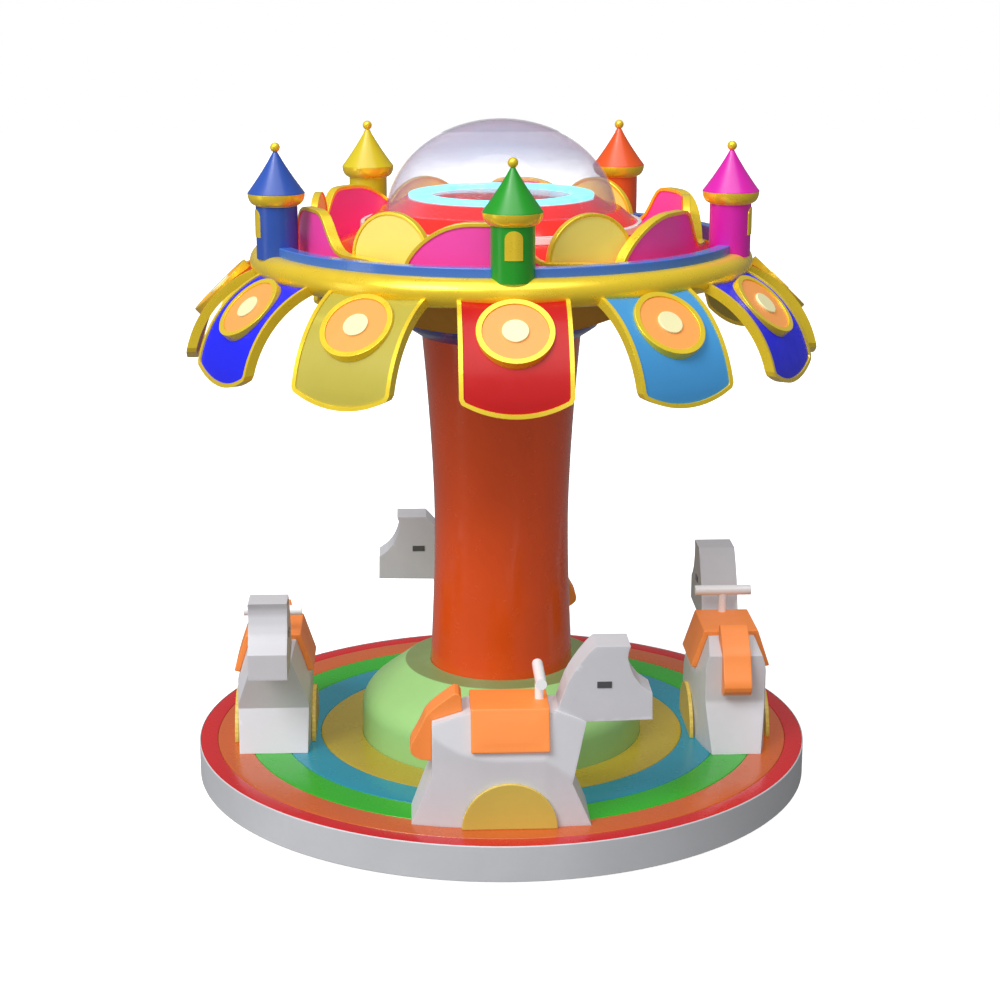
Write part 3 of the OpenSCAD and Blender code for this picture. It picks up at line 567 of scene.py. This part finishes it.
def padded_ring(node, material):
    """A ring pad with rolled edges and a slightly crowned top, flat below where it rests."""
    low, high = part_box(node)
    inner = min(Vector((v.co.x, v.co.y)).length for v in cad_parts[node].data.vertices)
    outer = high.x
    edge = PAD_EDGE
    top = high.z - PAD_CROWN
    outline = [(inner, low.z), (outer, low.z)]
    corner = [math.radians(a) for a in (0, 22.5, 45, 67.5, 90)]
    outline += [(outer - edge + edge * math.cos(a), top - edge + edge * math.sin(a)) for a in corner]
    share = [i / 8 for i in range(1, 8)]
    width = outer - inner - 2 * edge
    outline += [(outer - edge - s * width, top + PAD_CROWN * math.sin(math.pi * s)) for s in share]
    corner.reverse()
    outline += [(inner + edge - edge * math.cos(a), top - edge + edge * math.sin(a)) for a in corner]
    mesh = lathe(node + "_pad", outline)
    smooth(mesh, 60)
    piece = add_object(node + "_pad", mesh, material)
    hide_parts(node)


# ---------- the ride ----------


def make_turntable(m):
    for node in ("pad_red", "pad_orange", "pad_green", "pad_teal", "pad_yellow"):
        padded_ring(node, m[node])
    refined("skirt", m["skirt_vinyl"], 3, 3)
    refined("mound", m["mint_vinyl"], 6, 3)
    refined("column_shell", m["column"], 1.5)


def make_canopy(m):
    rounded = {
        "collar": ("navy", 2, 2),
        # The dish uses a darker copy of the gold: painted shade and painted reflection.
        "canopy_dish": ("dish_gold_painted_shade", 2, 2),
        "rim_tube": ("gold", 1, 1),
        "rim_band": ("band_blue", 2, 2),
        "canopy_floor": ("floor_red", 2, 2),
        "riser_ring": ("white_gloss", 3, 2),
        "crown_panels": ("crown_pink", 1.5, 2),
        "crown_trims": ("gold", 5, 3),
        "crown_discs": ("disc_yellow", 2, 2),
        "crown_disc_rims": ("gold", 3, 3),
        "light_ring": ("diffuser", 4, 3),
        "dome": ("dome", 1, 1),
        "turret_green": ("turret_green", 1.5, 2),
        "turret_magenta": ("turret_magenta", 1.5, 2),
        "turret_orange": ("turret_orange", 1.5, 2),
        "turret_yellow": ("turret_yellow", 1.5, 2),
        "turret_blue": ("turret_blue", 1.5, 2),
        "turret_collars": ("gold", 2, 2),
        "turret_balls": ("gold", 0.5, 1),
        "turret_windows": ("gold", 1, 2),
    }
    for node, (material, bevel, segments) in rounded.items():
        refined(node, m[material], bevel, segments)


def make_petals(m):
    rounded = {
        "petal_panels_red": ("petal_red", 1, 2),
        "petal_panels_sky": ("petal_sky", 1, 2),
        "petal_panels_royal": ("petal_royal", 1, 2),
        "petal_panels_yellow": ("petal_yellow", 1, 2),
        "petal_panels_green": ("petal_green", 1, 2),
        "petal_frames": ("gold", 3, 3),
        "medallion_rings": ("gold", 4, 3),
        "medallion_discs": ("medal_orange", 1, 2),
        "medallion_buttons": ("medal_cream", 3, 3),
    }
    for node, (material, bevel, segments) in rounded.items():
        refined(node, m[material], bevel, segments)


def make_horses(m):
    soft_node("horse_bodies", m["white_vinyl"], "horse_hides", length=16, reach=40, cap=3, bevel=3)
    soft_node("saddles", m["orange_vinyl"], "saddle_pads", length=12, reach=30, cap=3, bevel=4)
    soft_node("tails", m["orange_vinyl"], "tail_pads", length=10, reach=20, cap=3, bevel=9)
    soft_node("side_discs", m["tan_vinyl"], "side_pads", length=12, reach=30, cap=3, bevel=3)
    refined("handlebars", m["white_gloss"], 4, 3)
    refined("eyes", m["eye"], 1, 2)


def dress_machinery(m):
    """Hidden machinery keeps its CAD shape and gets its own materials."""
    painted = {
        "frame_paint": ("base_frame", "roller_mounts", "turntable_frame", "mast", "canopy_frame"),
        "motor_paint": ("gear_motor",),
        "steel": ("slewing_inner_ring", "drive_pinion", "ring_gear"),
        "rubber": ("rubber_feet", "roller_1", "roller_2", "roller_3", "roller_4"),
        "box_plastic": ("control_box", "slip_ring"),
        "plywood": ("deck_board",),
    }
    for material, nodes in painted.items():
        for node in nodes:
            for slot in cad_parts[node].material_slots:
                slot.material = m[material]


# ---------- studio ----------


def make_floor():
    size = 30
    bm = bmesh.new()
    bmesh.ops.create_grid(bm, x_segments=8, y_segments=8, size=size)
    mesh = bpy.data.meshes.new("floor")
    bm.to_mesh(mesh)
    bm.free()
    n = Nodes("floor")
    tone = n.blend(n.spread(n.noise(0.7), 0, 1), (0.95, 0.95, 0.95), (0.97, 0.97, 0.97))
    n.link(tone, n.shader.inputs["Base Color"])
    n.shader.inputs["Roughness"].default_value = 0.8
    n.shader.inputs["Emission Color"].default_value = (1, 1, 1, 1)
    n.shader.inputs["Emission Strength"].default_value = 0.5
    floor = bpy.data.objects.new("floor", mesh)
    floor.visible_diffuse = False
    floor.visible_glossy = False
    mesh.materials.append(n.material)
    bpy.context.scene.collection.objects.link(floor)


def softbox(name, place, aim, width, height, power):
    data = bpy.data.lights.new(name, "AREA")
    data.shape = "RECTANGLE"
    data.size = width
    data.size_y = height
    data.energy = power
    light = bpy.data.objects.new(name, data)
    light.location = place
    light.rotation_euler = (Vector(aim) - Vector(place)).to_track_quat("-Z", "Y").to_euler()
    bpy.context.scene.collection.objects.link(light)


def soft_sun(name, source, strength, angle, shadow=True):
    data = bpy.data.lights.new(name, "SUN")
    data.energy = strength
    data.angle = math.radians(angle)
    data.use_shadow = shadow
    light = bpy.data.objects.new(name, data)
    light.rotation_euler = (-Vector(source)).to_track_quat("-Z", "Y").to_euler()
    bpy.context.scene.collection.objects.link(light)


def make_world():
    """Dim even light, seen as a white backdrop."""
    world = bpy.data.worlds.new("studio")
    world.use_nodes = True
    tree = world.node_tree
    light = tree.nodes["Background"]
    light.inputs["Color"].default_value = (1, 1, 1, 1)
    light.inputs["Strength"].default_value = 0.22
    backdrop = tree.nodes.new("ShaderNodeBackground")
    backdrop.inputs["Color"].default_value = (1, 1, 1, 1)
    backdrop.inputs["Strength"].default_value = 1.0
    rays = tree.nodes.new("ShaderNodeLightPath")
    mix = tree.nodes.new("ShaderNodeMixShader")
    tree.links.new(rays.outputs["Is Camera Ray"], mix.inputs["Fac"])
    tree.links.new(light.outputs["Background"], mix.inputs[1])
    tree.links.new(backdrop.outputs["Background"], mix.inputs[2])
    tree.links.new(mix.outputs["Shader"], tree.nodes["World Output"].inputs["Surface"])
    bpy.context.scene.world = world


def make_studio():
    make_floor()
    make_world()
    bpy.context.scene.view_settings.view_transform = "Standard"
    middle = (0, 0, 1.2)
    soft_sun("key", (-0.5, -0.55, 0.67), strength=1.95, angle=30)
    soft_sun("fill", (-0.1, -0.38, 0.92), strength=2.0, angle=60, shadow=False)
    softbox("left_box", (-6.0, -2.4, 1.8), middle, width=1.6, height=4.5, power=34)
    softbox("front_box", (0.4, -6.9, 3.2), middle, width=1.0, height=3.2, power=12)


make_camera()
materials = make_materials()
make_turntable(materials)
make_canopy(materials)
make_petals(materials)
make_horses(materials)
dress_machinery(materials)
make_studio()
